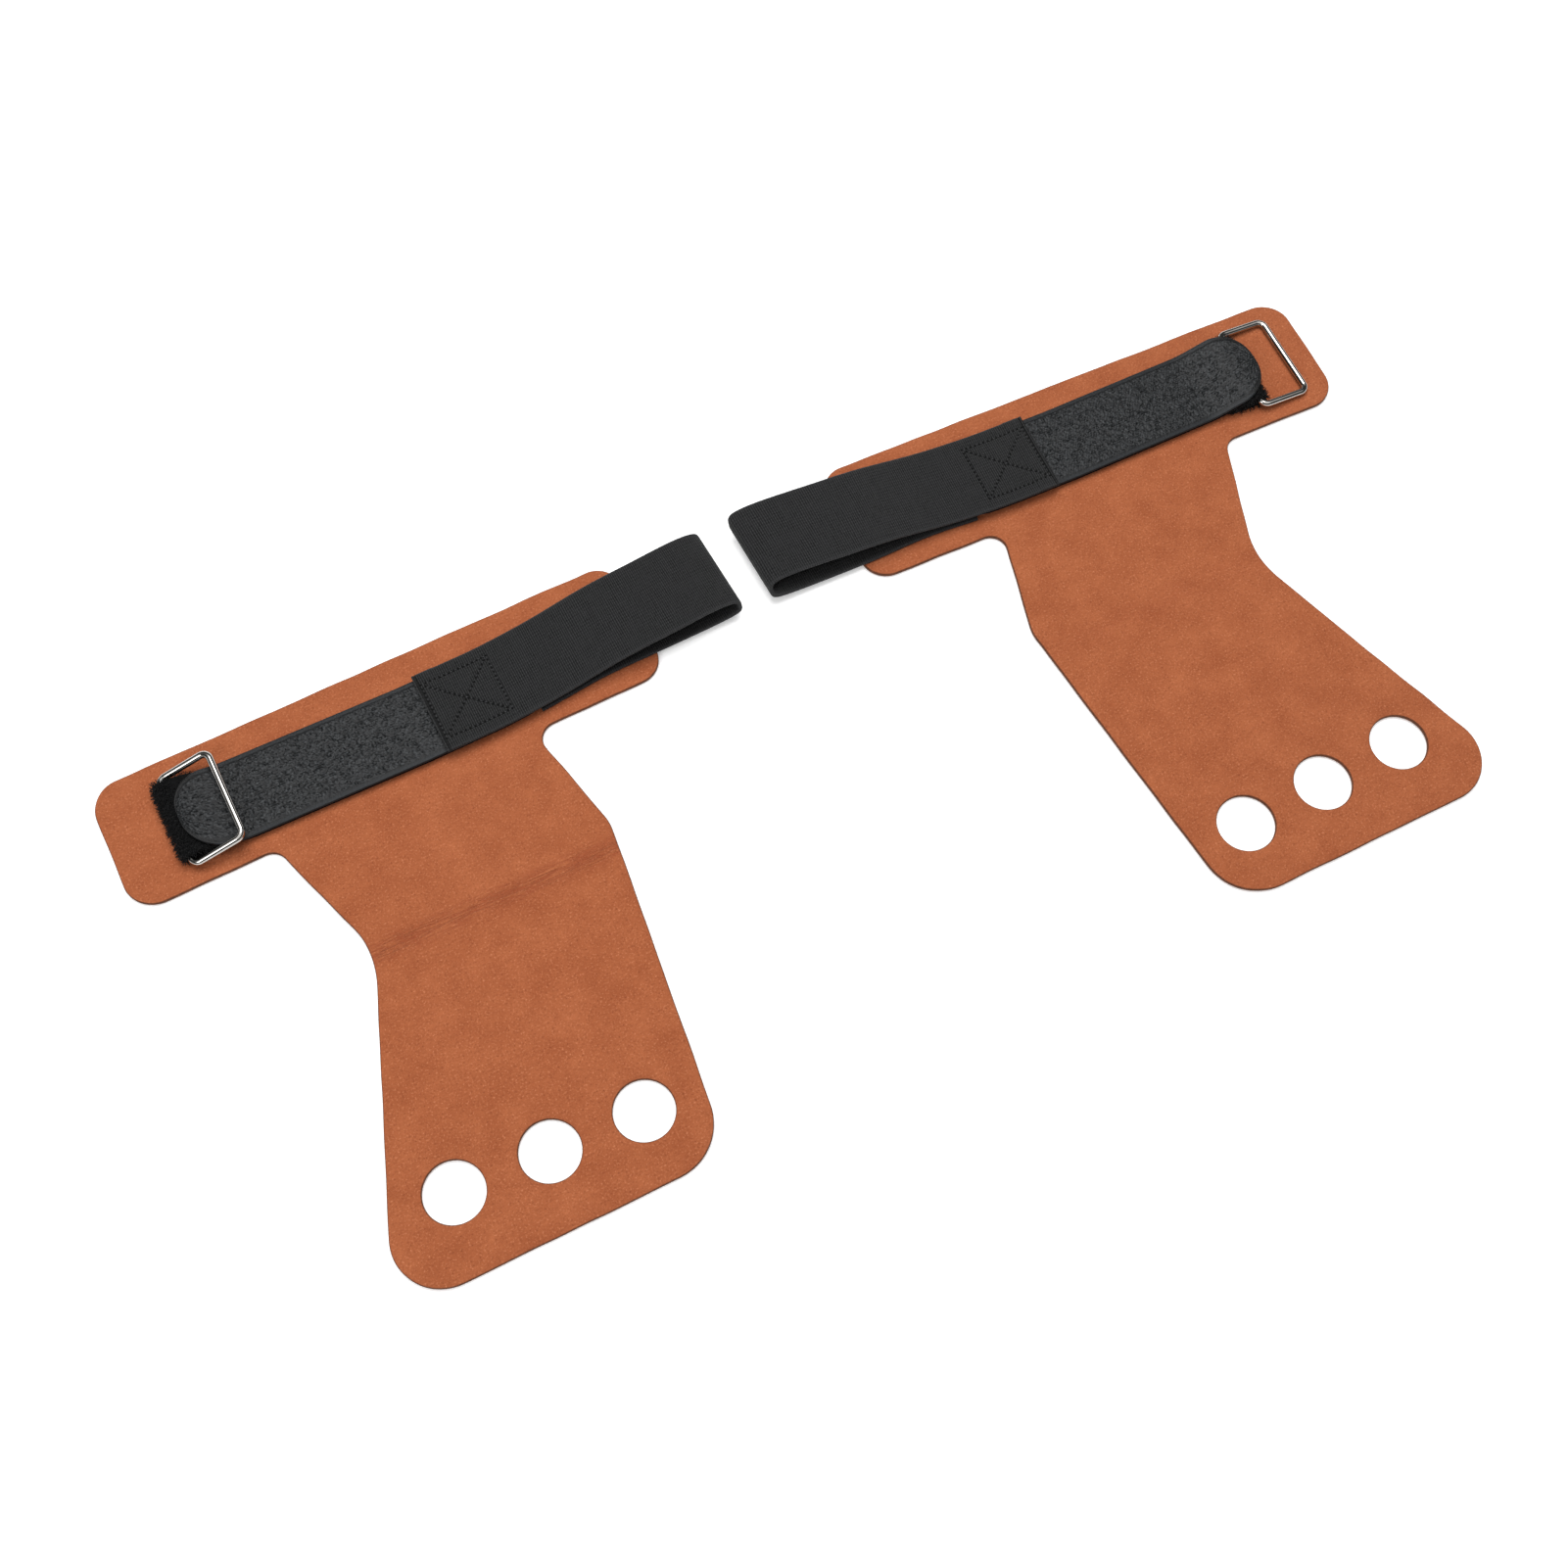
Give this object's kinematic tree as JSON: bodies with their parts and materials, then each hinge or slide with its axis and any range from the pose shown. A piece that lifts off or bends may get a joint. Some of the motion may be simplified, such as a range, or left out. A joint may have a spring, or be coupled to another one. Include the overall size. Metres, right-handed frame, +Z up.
{
  "type": "gymnastics palm grips",
  "caption": "Pair of leather palm grips with round finger holes, each closed at the wrist by a hook tape and elastic strap that threads through a wire ring.",
  "frame": {"origin": "middle of the pair's footprint, on the table the grips lie on", "axes": "+X along the wrist bands towards the right-hand grip, +Y from the fingers to the wrist bands, +Z up off the table"},
  "size_m": [0.3994, 0.1768, 0.0106],
  "materials": {
    "suede": "suede flesh side, rust tan",
    "black_elastic": "matte woven elastic with a fine cross rib",
    "hook_face": "dense nylon hooks, slightly shiny",
    "pile_face": "fuzzy nylon loop pile",
    "gunmetal_wire": "polished black nickel",
    "black_thread": "bonded polyester thread"
  },
  "bodies": {
    "left_wrist": {"left_wrist_leather": "suede", "left_pile_tape": "pile_face", "left_elastic_base": "black_elastic", "left_ring_seam": "black_thread", "left_lap_seam": "black_thread", "left_anchor_seam": "black_thread"},
    "left_palm": {"left_palm_leather": "suede"},
    "left_ring": {"left_buckle_ring": "gunmetal_wire"},
    "left_strap": {"left_hook_tape": "hook_face", "left_elastic_top": "black_elastic", "left_box_x_stitch": "black_thread"},
    "right_wrist": {"right_wrist_leather": "suede", "right_pile_tape": "pile_face", "right_elastic_base": "black_elastic", "right_ring_seam": "black_thread", "right_lap_seam": "black_thread", "right_anchor_seam": "black_thread"},
    "right_palm": {"right_palm_leather": "suede"},
    "right_ring": {"right_buckle_ring": "gunmetal_wire"},
    "right_strap": {"right_hook_tape": "hook_face", "right_elastic_top": "black_elastic", "right_box_x_stitch": "black_thread"}
  },
  "joints": [
    {"name": "left_ring_swing", "type": "hinge", "parent": "left_wrist", "child": "left_ring", "pos_m": [-0.1795, 0.06443, 0.004], "axis": [0.0262, -0.9997, 0], "range_deg": [0, 168]},
    {"name": "left_strap_open", "type": "hinge", "parent": "left_wrist", "child": "left_strap", "pos_m": [-0.00496, 0.069, 0.0056], "axis": [-0.0262, 0.9997, 0], "range_deg": [0, 88]},
    {"name": "left_palm_fold", "type": "hinge", "parent": "left_wrist", "child": "left_palm", "pos_m": [-0.1074, 0.0042, 0.0015], "axis": [-1, 0, 0], "range_deg": [0, 150], "stiffness_Nm_per_rad": 0.02},
    {"name": "right_ring_swing", "type": "hinge", "parent": "right_wrist", "child": "right_ring", "pos_m": [0.1737, 0.06458, 0.004], "axis": [-0.0262, -0.9997, 0], "range_deg": [0, 168]},
    {"name": "right_strap_open", "type": "hinge", "parent": "right_wrist", "child": "right_strap", "pos_m": [0.00496, 0.069, 0.0056], "axis": [-0.0262, -0.9997, 0], "range_deg": [0, 88]},
    {"name": "right_palm_fold", "type": "hinge", "parent": "right_wrist", "child": "right_palm", "pos_m": [0.1074, 0.0042, 0.0015], "axis": [-1, 0, 0], "range_deg": [0, 150], "stiffness_Nm_per_rad": 0.02},
    {"name": "right_grip_lift", "type": "slide", "parent": "left_wrist", "child": "right_wrist", "axis": [0, 0, 1], "range_m": [0, 0.12]}
  ]
}
